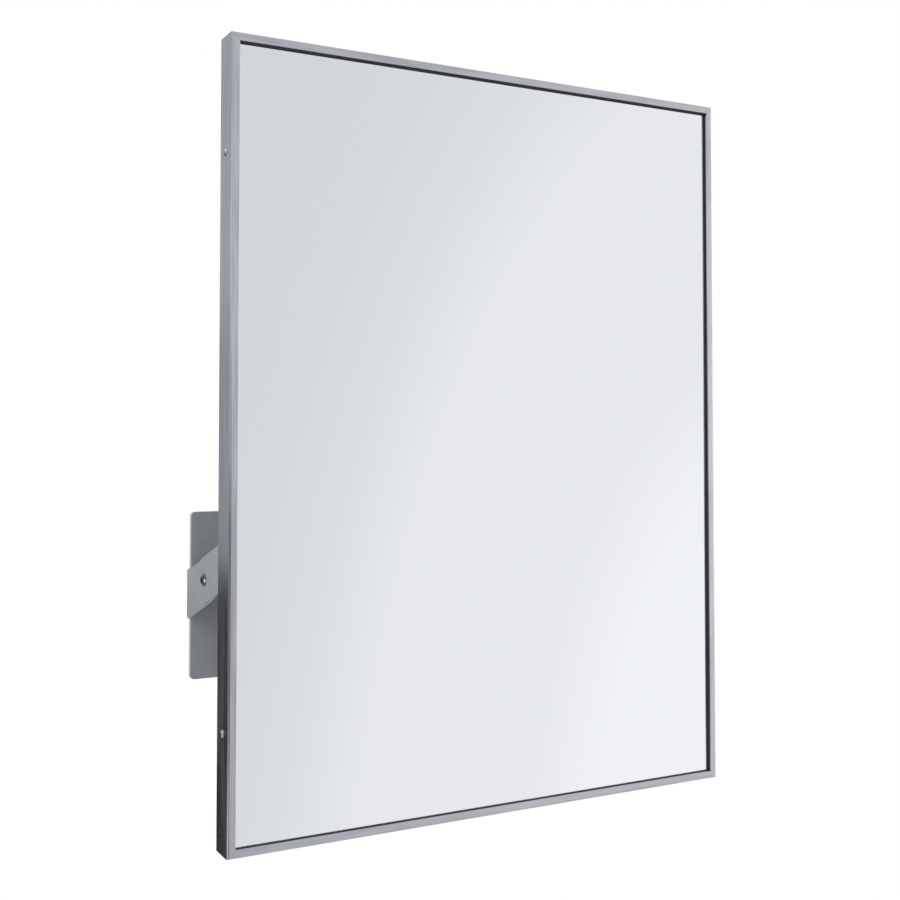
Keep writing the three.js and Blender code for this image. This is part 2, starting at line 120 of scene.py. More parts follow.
# %% [markdown]
# ## The light
# The photograph was taken in plain soft light against pure white. The metal and the glass show
# a studio that isn't in the picture. A real studio's image could stand in for it, but its
# panels would be in the wrong places, so a small one is built here from the direction that a
# ray leaves in. Where a direction's X, Y or Z passes from one number to another, a Map Range
# node turns that into a share from 0 to 1, and a Mix node blends two colours by that share. Its
# sockets for numbers, vectors and colours share their names, so the colour ones are numbered.
#
# In front, low on the right, is a pale oval panel, and each ring further out is a step darker.
# The glass shows those steps. A ray's distance from the panel's middle, counted in the panel's
# own half widths and half heights, is looked up in a colour ramp.

# %% The oval panel in front
COLOUR_A, COLOUR_B, MIXED = 6, 7, 2
GLOW_ACROSS = Vector((0.693, 0.721, 0.0))
GLOW_HEIGHT = -0.303
GLOW_HALF_WIDTH = 0.217
GLOW_HALF_HEIGHT = 0.373
RINGS_REACH = 4

world = bpy.data.worlds.new("soft_studio")
bpy.context.scene.world = world
world.use_nodes = True
sky = world.node_tree
sky.nodes.clear()
direction = add_node(sky, "ShaderNodeTexCoord").outputs["Generated"]
part = add_node(sky, "ShaderNodeSeparateXYZ", {0: direction}).outputs

across = add_node(
    sky, "ShaderNodeVectorMath", {0: direction, 1: GLOW_ACROSS / GLOW_HALF_WIDTH},
    operation="DOT_PRODUCT",
)
above = add_node(sky, "ShaderNodeMath", {0: part["Z"], 1: GLOW_HEIGHT}, operation="SUBTRACT")
above = add_node(sky, "ShaderNodeMath", {0: above, 1: GLOW_HALF_HEIGHT}, operation="DIVIDE")
oval = add_node(sky, "ShaderNodeCombineXYZ", {"X": across.outputs["Value"], "Y": above})
from_glow = add_node(sky, "ShaderNodeVectorMath", {0: oval}, operation="LENGTH")
ring = add_node(
    sky, "ShaderNodeMath", {0: from_glow.outputs["Value"], 1: 1 / RINGS_REACH}, operation="MULTIPLY"
)
front = add_node(sky, "ShaderNodeValToRGB", {"Fac": ring}, stops=[
    (0.21, "f6f7fa"),
    (0.27, "edeef1"),
    (0.41, "edeef1"),
    (0.47, "e1e3e7"),
    (0.54, "dadde1"),
    (1.00, "d0d3d8"),
])
print("the oval panel has", len(front.color_ramp.elements), "tones")

# %% [markdown]
# Near the floor, and low down on the left, the front of the studio is grey, which the front
# lips show in their blur. Far right, near eye level, is a bright window.

# %% The grey parts and the window
WINDOW_STRENGTH = 1.9

near_floor = add_node(
    sky, "ShaderNodeMapRange", {"Value": part["Z"], "From Min": -0.34, "From Max": -0.6}
)
front = add_node(
    sky, "ShaderNodeMix",
    {"Factor": near_floor, COLOUR_A: front, COLOUR_B: linear("74777c")}, data_type="RGBA",
)
leftward = add_node(
    sky, "ShaderNodeMapRange", {"Value": part["X"], "From Min": 0.28, "From Max": -0.05}
)
downward = add_node(
    sky, "ShaderNodeMapRange", {"Value": part["Z"], "From Min": 0.08, "From Max": -0.12}
)
low_left = add_node(sky, "ShaderNodeMath", {0: leftward, 1: downward}, operation="MULTIPLY")
front = add_node(
    sky, "ShaderNodeMix",
    {"Factor": low_left, COLOUR_A: front.outputs[MIXED], COLOUR_B: linear("5c5e63")},
    data_type="RGBA",
)
far_right = add_node(
    sky, "ShaderNodeMapRange", {"Value": part["X"], "From Min": 0.68, "From Max": 0.84}
)
off_level = add_node(sky, "ShaderNodeMath", {0: part["Z"]}, operation="ABSOLUTE")
level = add_node(
    sky, "ShaderNodeMapRange", {"Value": off_level, "From Min": 0.38, "From Max": 0.08}
)
window = add_node(sky, "ShaderNodeMath", {0: far_right, 1: level}, operation="MULTIPLY")
window_light = [WINDOW_STRENGTH * channel for channel in linear("f8f9fc")]
front = add_node(
    sky, "ShaderNodeMix",
    {"Factor": window, COLOUR_A: front.outputs[MIXED], COLOUR_B: window_light}, data_type="RGBA",
)
print("the front of the studio has", len(sky.nodes), "nodes")

# %% [markdown]
# Behind the object the studio is pale above and dark below, which the frame's left side shows
# as a sharp change. On the left it is pale high up and near the floor and grey between, and the
# rounded fold of the frame's left edge shows that as a thin line that brightens at its ends.
# Both sides read how steeply the ray rises or falls.

# %% The studio behind and on the left
DARK_BELOW = -0.115
LEFT_AXIS = Vector((-0.968, -0.252, 0.0))

rise = add_node(sky, "ShaderNodeMapRange", {"Value": part["Z"], "From Min": -0.5, "From Max": 0.5})
back = add_node(sky, "ShaderNodeValToRGB", {"Fac": rise}, stops=[
    (0.5 + DARK_BELOW - 0.10, "261719"),
    (0.5 + DARK_BELOW - 0.02, "251618"),
    (0.5 + DARK_BELOW, "7c7c82"),
    (0.5 + DARK_BELOW + 0.015, "b5b6bc"),
    (0.46, "b3b4ba"),
    (0.56, "acadb3"),
    (0.64, "c4c8cd"),
    (0.72, "c3c7cc"),
    (0.86, "babec3"),
    (0.92, "ffffff"),
])
left = add_node(sky, "ShaderNodeValToRGB", {"Fac": rise}, stops=[
    (0.17, "ffffff"),
    (0.19, "f4f5f7"),
    (0.215, "c0c2c7"),
    (0.25, "babcc1"),
    (0.29, "9a9ca1"),
    (0.34, "8e9095"),
    (0.42, "94969b"),
    (0.50, "c4c6cb"),
    (0.58, "e0e2e6"),
    (0.66, "f8f9fa"),
    (0.80, "d2d4d9"),
])
to_back = add_node(
    sky, "ShaderNodeMapRange", {"Value": part["Y"], "From Min": -0.2, "From Max": 0.2}
)
studio = add_node(
    sky, "ShaderNodeMix",
    {"Factor": to_back, COLOUR_A: front.outputs[MIXED], COLOUR_B: back}, data_type="RGBA",
)
near_left = add_node(
    sky, "ShaderNodeVectorMath", {0: direction, 1: LEFT_AXIS}, operation="DOT_PRODUCT"
)
to_left = add_node(
    sky, "ShaderNodeMapRange",
    {"Value": near_left.outputs["Value"], "From Min": 0.70, "From Max": 0.86},
)
studio = add_node(
    sky, "ShaderNodeMix",
    {"Factor": to_left, COLOUR_A: studio.outputs[MIXED], COLOUR_B: left}, data_type="RGBA",
)
print("the studio has", len(sky.nodes), "nodes")

# %% [markdown]
# The world then holds three answers. A ray from the camera sees white, a ray that left a dull
# surface gets an even soft light, and a ray that left a mirror or a metal sees the studio.

# %% Three answers of the world
studio_light = add_node(
    sky, "ShaderNodeBackground", {"Color": studio.outputs[MIXED], "Strength": 1.0}
)
soft_light = add_node(sky, "ShaderNodeBackground", {"Color": linear("f8f9fb"), "Strength": 0.76})
white = add_node(sky, "ShaderNodeBackground", {"Color": (1, 1, 1, 1), "Strength": 1.0})
rays = add_node(sky, "ShaderNodeLightPath").outputs
lit = add_node(
    sky, "ShaderNodeMixShader", {"Fac": rays["Is Glossy Ray"], 1: soft_light, 2: studio_light}
)
seen = add_node(sky, "ShaderNodeMixShader", {"Fac": rays["Is Camera Ray"], 1: lit, 2: white})
add_node(sky, "ShaderNodeOutputWorld", {"Surface": seen})
print("world with", len(sky.nodes), "nodes")

# %% [markdown]
# Two soft lamps add what the world cannot: a direction. The broad key stands high on the left and
# the fill lower on the right, both large, so that their shadows are soft. Neither shows in
# metal, because the world already holds everything that the metal should mirror.

# %% Lamps
def soft_lamp(name, place, size, power):
    data = bpy.data.lights.new(name, "AREA")
    data.shape = "DISK"
    data.size = size
    data.energy = power
    lamp = bpy.data.objects.new(name, data)
    lamp.location = place
    lamp.rotation_euler = (-Vector(place)).to_track_quat("-Z", "Y").to_euler()
    lamp.visible_glossy = False
    bpy.context.scene.collection.objects.link(lamp)
    return lamp


soft_lamp("key_lamp", place=(-2.4, -1.6, 2.2), size=2.4, power=28)
soft_lamp("fill_lamp", place=(2.6, -1.8, 0.4), size=1.6, power=14)
print("two soft lamps")

# %% [markdown]
# The mirror hangs on a wall, so nothing stands under it. A pale floor lies well below, out of
# the photograph's view, and sends a little light up. From above it would be a dark patch
# against the white, so its shader also glows, for the camera alone.

# %% Floor
FLOOR_SIDE = 2.4
FLOOR_HEIGHT = -0.9
FLOOR_GLOW = 0.6

floor_paint = bpy.data.materials.new("pale_studio_floor")
floor_paint.use_nodes = True
tree = floor_paint.node_tree
tree.nodes.clear()
matt = add_node(tree, "ShaderNodeBsdfDiffuse", {"Color": linear("e4e5e7")})
glow = add_node(tree, "ShaderNodeEmission", {"Color": (1, 1, 1, 1), "Strength": 1.0})
seen_by_camera = add_node(tree, "ShaderNodeLightPath").outputs["Is Camera Ray"]
share = add_node(tree, "ShaderNodeMath", {0: seen_by_camera, 1: FLOOR_GLOW}, operation="MULTIPLY")
both = add_node(tree, "ShaderNodeMixShader", {"Fac": share, 1: matt, 2: glow})
add_node(tree, "ShaderNodeOutputMaterial", {"Surface": both})

bm = bmesh.new()
bmesh.ops.create_grid(bm, x_segments=1, y_segments=1, size=FLOOR_SIDE / 2)
bmesh.ops.translate(bm, verts=bm.verts, vec=(0, 0, FLOOR_HEIGHT))
floor_mesh = bpy.data.meshes.new("studio_floor")
bm.to_mesh(floor_mesh)
bm.free()
floor_mesh.materials.append(floor_paint)
floor = bpy.data.objects.new("studio_floor", floor_mesh)
bpy.context.scene.collection.objects.link(floor)
print("a floor at", FLOOR_HEIGHT, "m")

# %% [markdown]
# ## Finishes
# Every finish ends in a Principled shader and gets its detail from patterns in real
# millimetres. This helper starts the material and gives the pattern coordinates in millimetres,
# so that a noise of scale 1 has lumps about 1 mm wide, and one of scale 1 / 9 has lumps of 9 mm.
# Noise seldom leaves the middle of its range, so that middle is what gets spread out over the
# tones and the roughness of a finish.

# %% A material with coordinates in millimetres
NOISE_MIDDLE = {"From Min": 0.3, "From Max": 0.7}


def new_finish(name, pattern_uv=None):
    """Returns a material, its node tree and coordinates in millimetres: the piece's own, or
    those of a UV map where the pattern follows the sheet."""
    material = bpy.data.materials.new(name)
    material.use_nodes = True
    tree = material.node_tree
    tree.nodes.clear()
    if pattern_uv:
        place = add_node(tree, "ShaderNodeUVMap", uv_map=pattern_uv)
    else:
        place = add_node(tree, "ShaderNodeTexCoord").outputs["Object"]
    scale = (1 / MM, 1 / MM, 1 / MM)
    return material, tree, add_node(tree, "ShaderNodeMapping", {"Vector": place, "Scale": scale})


# %% [markdown]
# **Satin stainless steel.** The frame is folded from grade 304 sheet with a number 4 finish: a
# fine belt rubs it along its length, so it shows faint lines that way and blurs what it reflects
# across them. The real lines are about 0.1 mm apart, which is too fine to show here, so they
# are drawn 0.9 mm apart, and a cloudier layer stands for the uneven rubbing between belts. The
# patterns read a UV map named grain, whose U runs along each rail and whose V turns the corner
# at the fold, as the sheet does. Mapping nodes draw both patterns out along U, and a Tangent
# node tells the shader which way U runs.

# %% Satin stainless steel
satin_steel, tree, place = new_finish("brushed_304_stainless_steel", pattern_uv="grain")
rubbed = add_node(tree, "ShaderNodeMapping", {"Vector": place, "Scale": (1 / 70, 1, 1)})
lines = add_node(tree, "ShaderNodeTexNoise", {"Vector": rubbed, "Scale": 1 / 0.9, "Detail": 3})
smeared = add_node(tree, "ShaderNodeMapping", {"Vector": place, "Scale": (1 / 7, 1, 1)})
clouds = add_node(tree, "ShaderNodeTexNoise", {"Vector": smeared, "Scale": 1 / 9, "Detail": 3})
tone = add_node(tree, "ShaderNodeMath", {0: lines, 1: clouds}, operation="ADD")
tone = add_node(tree, "ShaderNodeMath", {0: tone, 1: 0.5}, operation="MULTIPLY")
colour = add_node(tree, "ShaderNodeValToRGB", {"Fac": tone}, stops=[
    (0.32, "b4b5ba"),
    (0.5, "c6c7cb"),
    (0.68, "d6d7da"),
])
roughness = add_node(
    tree, "ShaderNodeMapRange", {"Value": clouds, **NOISE_MIDDLE, "To Min": 0.21, "To Max": 0.27}
)
dents = add_node(tree, "ShaderNodeBump", {"Height": lines, "Distance": 0.004 * MM})
dents = add_node(
    tree, "ShaderNodeBump", {"Height": clouds, "Distance": 0.01 * MM, "Normal": dents}
)
along = add_node(tree, "ShaderNodeTangent", direction_type="UV_MAP", uv_map="grain")
shader = add_node(tree, "ShaderNodeBsdfPrincipled", {
    "Base Color": colour,
    "Metallic": 1.0,
    "Roughness": roughness,
    "Anisotropic": 1.0,
    "Anisotropic Rotation": 0.25,
    "Tangent": along,
    "Normal": dents,
})
add_node(tree, "ShaderNodeOutputMaterial", {"Surface": shader})
print(satin_steel.name)

# %% [markdown]
# **Silvered glass.** Float glass with silver behind it sends back about nine tenths of the
# light, a little cooler than it came, with hardly any blur. Float glass is flat to a few
# thousandths of a millimetre over a hand's width, so the only pattern is a very long, shallow
# wave.

# %% Silvered glass
silvered, tree, place = new_finish("silvered_float_glass")
wave = add_node(tree, "ShaderNodeTexNoise", {"Vector": place, "Scale": 1 / 160, "Detail": 0})
dents = add_node(tree, "ShaderNodeBump", {"Height": wave, "Distance": 0.02 * MM})
shader = add_node(tree, "ShaderNodeBsdfPrincipled", {
    "Base Color": linear("f8f9fa"),
    "Metallic": 1.0,
    "Roughness": 0.02,
    "Normal": dents,
})
add_node(tree, "ShaderNodeOutputMaterial", {"Surface": shader})
print(silvered.name)

# %% [markdown]
# **Black foam rubber.** The strips between lip and glass are closed-cell rubber tape: nearly
# black, dull, with a skin of tiny cells.

# %% Black foam rubber
foam_rubber, tree, place = new_finish("closed_cell_epdm_foam")
cells = add_node(tree, "ShaderNodeTexNoise", {"Vector": place, "Scale": 1 / 0.6, "Detail": 4})
colour = add_node(tree, "ShaderNodeValToRGB", {"Fac": cells}, stops=[
    (0.3, "2b2526"),
    (0.7, "423a3c"),
])
dents = add_node(tree, "ShaderNodeBump", {"Height": cells, "Distance": 0.05 * MM})
shader = add_node(tree, "ShaderNodeBsdfPrincipled", {
    "Base Color": colour,
    "Roughness": 0.85,
    "IOR": 1.5,
    "Normal": dents,
})
add_node(tree, "ShaderNodeOutputMaterial", {"Surface": shader})
print(foam_rubber.name)

# %% [markdown]
# **Powder coat.** The arms and the wall plate are grey polyester powder, sprayed dry and baked.
# It flows into a skin about 0.08 mm thick with lumps like orange peel, 1 to 3 mm wide, and it
# has a soft gloss. Handling leaves it a little duller in patches. While it bakes it draws back
# from cut edges, so the paler undercoat shows a little there. The paler colour on those faces is
# also a painted highlight, standing for the line of light that a cut edge catches. The pieces
# mark those faces with an attribute named thin_coat_and_highlight.

# %% Grey powder coat
powder_coat, tree, place = new_finish("grey_polyester_powder_coat")
peel = add_node(tree, "ShaderNodeTexNoise", {"Vector": place, "Scale": 1 / 1.6, "Detail": 1})
grit = add_node(tree, "ShaderNodeTexNoise", {"Vector": place, "Scale": 1 / 0.35, "Detail": 2})
patches = add_node(tree, "ShaderNodeTexNoise", {"Vector": place, "Scale": 1 / 22, "Detail": 3})
coat = add_node(tree, "ShaderNodeValToRGB", {"Fac": patches}, stops=[
    (0.3, "9da1a6"),
    (0.5, "a2a6ab"),
    (0.7, "a6aaaf"),
])
# Cut faces are painted paler: partly the thin coat, partly a painted highlight along the edges.
thin_coat_and_highlight = add_node(tree, "ShaderNodeAttribute", attribute_name="thin_coat_and_highlight")
colour = add_node(
    tree, "ShaderNodeMix",
    {"Factor": thin_coat_and_highlight.outputs["Fac"], COLOUR_A: coat, COLOUR_B: linear("c0c5cc")},
    data_type="RGBA",
)
roughness = add_node(
    tree, "ShaderNodeMapRange", {"Value": patches, **NOISE_MIDDLE, "To Min": 0.36, "To Max": 0.46}
)
dents = add_node(tree, "ShaderNodeBump", {"Height": peel, "Distance": 0.025 * MM})
dents = add_node(
    tree, "ShaderNodeBump", {"Height": grit, "Distance": 0.006 * MM, "Normal": dents}
)
shader = add_node(tree, "ShaderNodeBsdfPrincipled", {
    "Base Color": colour.outputs[MIXED],
    "Roughness": roughness,
    "IOR": 1.5,
    "Normal": dents,
})
add_node(tree, "ShaderNodeOutputMaterial", {"Surface": shader})
print(powder_coat.name)

# %% [markdown]
# **Hot-dip galvanised steel.** The zinc on the back tray froze in flat crystals, the spangle,
# 6 to 14 mm wide. Each one tilts its own way, so it is a little lighter or darker and rougher
# or smoother than the next one. A Voronoi pattern makes such cells, and a noise bends their
# straight borders. A thin chalky skin of zinc salts takes part of the shine away.

# %% Galvanised steel
galvanised, tree, place = new_finish("hot_dip_galvanised_steel")
warp = add_node(tree, "ShaderNodeTexNoise", {"Vector": place, "Scale": 0.12, "Detail": 2})
bent = add_node(
    tree, "ShaderNodeVectorMath", {0: warp.outputs["Color"], "Scale": 7}, operation="SCALE"
)
moved = add_node(tree, "ShaderNodeVectorMath", {0: place, 1: bent}, operation="ADD")
crystals = add_node(tree, "ShaderNodeTexVoronoi", {"Vector": moved, "Scale": 1 / 9})
crystal = add_node(tree, "ShaderNodeSeparateColor", {0: crystals.outputs["Color"]}).outputs
smeared = add_node(tree, "ShaderNodeMapping", {"Vector": place, "Scale": (1 / 3, 1, 1)})
frost = add_node(tree, "ShaderNodeTexNoise", {"Vector": smeared, "Scale": 1 / 1.2, "Detail": 3})
colour = add_node(tree, "ShaderNodeValToRGB", {"Fac": crystal[0]}, stops=[
    (0.0, "9fa4a8"),
    (0.5, "adb2b6"),
    (1.0, "bcc1c5"),
])
roughness = add_node(
    tree, "ShaderNodeMapRange", {"Value": crystal[1], "To Min": 0.34, "To Max": 0.52}
)
dents = add_node(tree, "ShaderNodeBump", {"Height": crystal[2], "Distance": 0.03 * MM})
dents = add_node(
    tree, "ShaderNodeBump", {"Height": frost, "Distance": 0.006 * MM, "Normal": dents}
)
shader = add_node(tree, "ShaderNodeBsdfPrincipled", {
    "Base Color": colour,
    "Metallic": 0.7,
    "Roughness": roughness,
    "Normal": dents,
})
add_node(tree, "ShaderNodeOutputMaterial", {"Surface": shader})
print(galvanised.name)

# %% [markdown]
# **Turned and plated screws.** Three finishes share one recipe, because all three are small
# steel pieces whose surface is a fine even grain: bright stainless for the frame's screws, blue
# zinc for nuts, washers and the arms' screws, and black oxide for the pivot bolts, which is a
# dark skin with the shine of the steel still in it.

# %% Finishes of the fasteners
def fastener_finish(name, dark, light, roughness, metallic):
    material, tree, place = new_finish(name)
    grain = add_node(tree, "ShaderNodeTexNoise", {"Vector": place, "Scale": 1 / 0.5, "Detail": 3})
    wear = add_node(tree, "ShaderNodeTexNoise", {"Vector": place, "Scale": 1 / 2.5, "Detail": 2})
    colour = add_node(
        tree, "ShaderNodeValToRGB", {"Fac": wear}, stops=[(0.35, dark), (0.65, light)]
    )
    rough = add_node(
        tree, "ShaderNodeMapRange",
        {"Value": wear, **NOISE_MIDDLE, "To Min": roughness, "To Max": roughness + 0.1},
    )
    dents = add_node(tree, "ShaderNodeBump", {"Height": grain, "Distance": 0.006 * MM})
    shader = add_node(tree, "ShaderNodeBsdfPrincipled", {
        "Base Color": colour,
        "Metallic": metallic,
        "Roughness": rough,
        "Normal": dents,
    })
    add_node(tree, "ShaderNodeOutputMaterial", {"Surface": shader})
    return material


bright_stainless = fastener_finish(
    "passivated_stainless_steel", "c4c6ca", "d6d8db", roughness=0.18, metallic=1.0
)
blue_zinc = fastener_finish(
    "blue_zinc_plated_steel", "b4b9bf", "cdd2d8", roughness=0.26, metallic=1.0
)
black_oxide = fastener_finish(
    "black_oxide_steel", "4a484c", "646266", roughness=0.18, metallic=0.8
)
print(bright_stainless.name, blue_zinc.name, black_oxide.name)

# %% [markdown]
# **Nylon and hardboard.** The friction washers and the ring in each lock nut are natural nylon,
# milky white and waxy, so a little light goes in and comes out beside where it went in. The
# board behind the glass is pressed wood fibre, brown and mottled.

# %% Nylon and hardboard
nylon, tree, place = new_finish("natural_nylon_66")
wax = add_node(tree, "ShaderNodeTexNoise", {"Vector": place, "Scale": 1.0, "Detail": 2})
colour = add_node(tree, "ShaderNodeValToRGB", {"Fac": wax}, stops=[
    (0.3, "dcdbd3"),
    (0.7, "ebeae4"),
])
roughness = add_node(
    tree, "ShaderNodeMapRange", {"Value": wax, **NOISE_MIDDLE, "To Min": 0.42, "To Max": 0.52}
)
dents = add_node(tree, "ShaderNodeBump", {"Height": wax, "Distance": 0.01 * MM})
shader = add_node(tree, "ShaderNodeBsdfPrincipled", {
    "Base Color": colour,
    "Roughness": roughness,
    "IOR": 1.53,
    "Subsurface Weight": 0.2,
    "Subsurface Scale": 1 * MM,
    "Normal": dents,
})
add_node(tree, "ShaderNodeOutputMaterial", {"Surface": shader})

hardboard, tree, place = new_finish("pressed_hardboard")
felted = add_node(tree, "ShaderNodeMapping", {"Vector": place, "Scale": (1 / 3, 1, 1)})
fibre = add_node(tree, "ShaderNodeTexNoise", {"Vector": felted, "Scale": 1 / 1.5, "Detail": 5})
colour = add_node(tree, "ShaderNodeValToRGB", {"Fac": fibre}, stops=[
    (0.3, "5a3a25"),
    (0.7, "7c5638"),
])
dents = add_node(tree, "ShaderNodeBump", {"Height": fibre, "Distance": 0.05 * MM})
shader = add_node(tree, "ShaderNodeBsdfPrincipled", {
    "Base Color": colour,
    "Roughness": 0.8,
    "IOR": 1.5,
    "Normal": dents,
})
add_node(tree, "ShaderNodeOutputMaterial", {"Surface": shader})
print(nylon.name, hardboard.name)

# %% [markdown]
# ## Making pieces
# A finished bmesh becomes an object that rides on its body and stands for its node. Shading is
# smooth except across edges sharper than 40 degrees, and the weighted normals keep large flat
# faces flat next to their small rounded edges.

# %% From bmesh to piece
SHARP = math.radians(40)


def add_piece(name, bm, body, material, node=None):
    mesh = bpy.data.meshes.new(name)
    bm.to_mesh(mesh)
    bm.free()
    mesh.materials.append(material)
    mesh.shade_smooth()
    mesh.set_sharp_from_angle(angle=SHARP)
    piece = bpy.data.objects.new(name, mesh)
    bpy.context.scene.collection.objects.link(piece)
    even = piece.modifiers.new("flat_faces_stay_flat", "WEIGHTED_NORMAL")
    even.keep_sharp = True
    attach(piece, body)
    if node:
        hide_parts(node)
    return piece


def round_edges(bm, edges, radius, steps=2):
    bmesh.ops.bevel(
        bm, geom=edges, offset=radius, offset_type="OFFSET", affect="EDGES", segments=steps,
        profile=0.5, material=-1, clamp_overlap=True,
    )


def sharp_edges(bm):
    return [edge for edge in bm.edges if edge.is_manifold and edge.calc_face_angle() > SHARP]


# %% [markdown]
# ## The frame's rails
# Each rail is one strip of 1.2 mm sheet, folded once: a side wall 25 mm deep and a lip 6.3 mm
# wide that holds the glass in. A box cut hollow would give the same outline, but a fold drawn
# as a fold keeps the sheet's thickness all the way round, so it is made here the way a press
# brake makes it. A flat path gets its length by extrusion, the fold is a bevel on the one edge
# between wall and lip, solidify gives the sheet its thickness, and two slanted cuts make the
# mitres. The thin cut edges are then rounded by about a tenth of a millimetre, so that they
# catch a line of light.

# %% One folded rail
SHEET = 1.2 * MM
FOLD_RADIUS = 1.8 * MM
CUT_EDGE_RADIUS = 0.12 * MM
CUT_SNAP = 0.0001 * MM

mirror_low, mirror_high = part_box("frame_rail_left")
MIRROR_HEIGHT = mirror_high.z - mirror_low.z
MIRROR_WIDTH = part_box("frame_rail_right")[1].x - mirror_low.x
FRAME_DEPTH = mirror_high.y - mirror_low.y
LIP_WIDTH = mirror_high.x - mirror_low.x
MIRROR_CENTRE = Vector((0, mirror_low.y, (mirror_low.z + mirror_high.z) / 2))


def folded_strip(length):
    """A rail along X with its outer face at Z = 0 and its lip at Y = 0, before the mitres."""
    bm = bmesh.new()
    path = [(FRAME_DEPTH, 0), (0, 0), (0, -LIP_WIDTH)]
    corners = [bm.verts.new((-length / 2, y, z)) for y, z in path]
    edges = [bm.edges.new(pair) for pair in zip(corners, corners[1:])]
    pulled = bmesh.ops.extrude_edge_only(bm, edges=edges)["geom"]
    far_end = [part for part in pulled if isinstance(part, bmesh.types.BMVert)]
    bmesh.ops.translate(bm, verts=far_end, vec=(length, 0, 0))
    bmesh.ops.recalc_face_normals(bm, faces=bm.faces)
    wall = max(bm.faces, key=lambda face: face.calc_area())
    if wall.normal.z < 0:
        bmesh.ops.reverse_faces(bm, faces=bm.faces)
    fold = [edge for edge in bm.edges if all(v.co.yz.length < MM for v in edge.verts)]
    round_edges(bm, fold, FOLD_RADIUS, steps=8)
    bmesh.ops.solidify(bm, geom=bm.faces[:], thickness=SHEET)
    return bm


def cut_mitres(bm, length):
    """Cuts both ends at 45 degrees, through the outer corners, and closes the cuts."""
    for end in (-1, 1):
        everything = bm.verts[:] + bm.edges[:] + bm.faces[:]
        cut = bmesh.ops.bisect_plane(
            bm, geom=everything, dist=CUT_SNAP, plane_co=(end * length / 2, 0, 0),
            plane_no=(end, 0, -1), clear_outer=True,
        )["geom_cut"]
        rim = [part for part in cut if isinstance(part, bmesh.types.BMEdge)]
        bmesh.ops.contextual_create(bm, geom=rim)
    bmesh.ops.recalc_face_normals(bm, faces=bm.faces)


# %% [markdown]
# The four rails are the same strip at two lengths, turned round the mirror's centre. The UV map
# is written while a rail still lies along X, so that U runs along it and V round the fold. Real
# rubbing never lines up from one rail to the next, so each rail's pattern starts a metre on.

# %% Four rails
RAILS = {
    "top": (MIRROR_WIDTH, 0),
    "right": (MIRROR_HEIGHT, math.pi / 2),
    "bottom": (MIRROR_WIDTH, math.pi),
    "left": (MIRROR_HEIGHT, -math.pi / 2),
}


def write_grain(bm, start):
    grain = bm.loops.layers.uv.new("grain")
    for face in bm.faces:
        for loop in face.loops:
            x, y, z = loop.vert.co
            loop[grain].uv = (start + x, y + z)


def rail_place(turn):
    """Moves a rail from its place along X to its side of the mirror."""
    outward = MIRROR_HEIGHT / 2 if abs(math.cos(turn)) > 0.5 else MIRROR_WIDTH / 2
    to_edge = Matrix.Translation((0, 0, outward))
    return Matrix.Translation(MIRROR_CENTRE) @ Matrix.Rotation(turn, 4, "Y") @ to_edge


for number, (side, (length, turn)) in enumerate(RAILS.items()):
    bm = folded_strip(length + 2 * LIP_WIDTH)
    cut_mitres(bm, length)
    round_edges(bm, sharp_edges(bm), CUT_EDGE_RADIUS)
    write_grain(bm, start=number)
    bmesh.ops.transform(bm, matrix=rail_place(turn), verts=bm.verts)
    rail = add_piece(
        f"satin_rail_{side}", bm, "mirror", satin_steel,
        f"frame_rail_{side}",
    )
    print(rail.name, len(rail.data.polygons), "faces")

# %% [markdown]
# ## Sheet and plate pieces
# The plate, arms, tray, glass, board, strips, washers and nuts already have the right shape in
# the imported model, but every edge there is perfectly sharp. A real edge is deburred or coated
# and shows a thin line of light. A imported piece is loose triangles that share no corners, so a
# Bevel modifier would find no edge to round. Each copy gets its triangles merged and its flat
# faces joined up first, and its sharp edges are then rounded by that material's own radius.

# %% Softened copies
HAIR = 0.01 * MM
SAME_PLACE = 0.002 * MM
SAME_PLANE = math.radians(1)


def merged_copy(node):
    """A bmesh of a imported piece, with its triangles merged into whole flat faces."""
    bm = bmesh.new()
    bm.from_mesh(nodes[node].data)
    bmesh.ops.remove_doubles(bm, verts=bm.verts, dist=SAME_PLACE)
    bmesh.ops.dissolve_limit(
        bm, angle_limit=SAME_PLANE, use_dissolve_boundaries=False,
        verts=bm.verts, edges=bm.edges, delimit={"NORMAL"},
    )
    return bm


def softened(node, body, material, radius_mm):
    bm = merged_copy(node)
    round_edges(bm, sharp_edges(bm), radius_mm * MM)
    add_piece(f"{node}_finished", bm, body, material, node)


softened("mirror_glass", "mirror", silvered, radius_mm=0.3)
softened("backing_board", "mirror", hardboard, radius_mm=0.2)
for side in ("left", "right"):
    softened(f"friction_washer_{side}", "wall_bracket", nylon, radius_mm=0.12)
    softened(
        f"pivot_washer_{side}", "wall_bracket", blue_zinc, radius_mm=0.2
    )
    softened(f"lock_nut_{side}", "wall_bracket", blue_zinc, radius_mm=0.25)
    for end in ("upper", "lower"):
        softened(
            f"weld_nut_{side}_{end}", "mirror", blue_zinc, radius_mm=0.25
        )
print("glass, board, washers and nuts")

# %% [markdown]
# The photograph shows a bold black line under the top lip, so the strip there was laid a little
# low: its lower edge hangs 1.5 mm below its place. The three others lie flush behind their lips.

# %% The glazing strips
STRIP_SAG = 1.5 * MM
STRIP_RADIUS_MM = 0.4

bm = merged_copy("glazing_strip_top")
lower_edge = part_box("glazing_strip_top")[0].z
for vert in bm.verts:
    if vert.co.z - lower_edge < HAIR:
        vert.co.z -= STRIP_SAG
round_edges(bm, sharp_edges(bm), STRIP_RADIUS_MM * MM)
add_piece(
    "glazing_strip_top_finished", bm, "mirror", foam_rubber, "glazing_strip_top"
)
for side in ("right", "bottom", "left"):
    softened(
        f"glazing_strip_{side}", "mirror", foam_rubber, radius_mm=STRIP_RADIUS_MM
    )
print("four glazing strips")

# %% [markdown]
# The tray is folded from one flat blank, so its long outer edges are rounder than its cut ones:
# sheet of 1 mm bends round a radius of about 1.2 mm. Those four edges are rounded first.

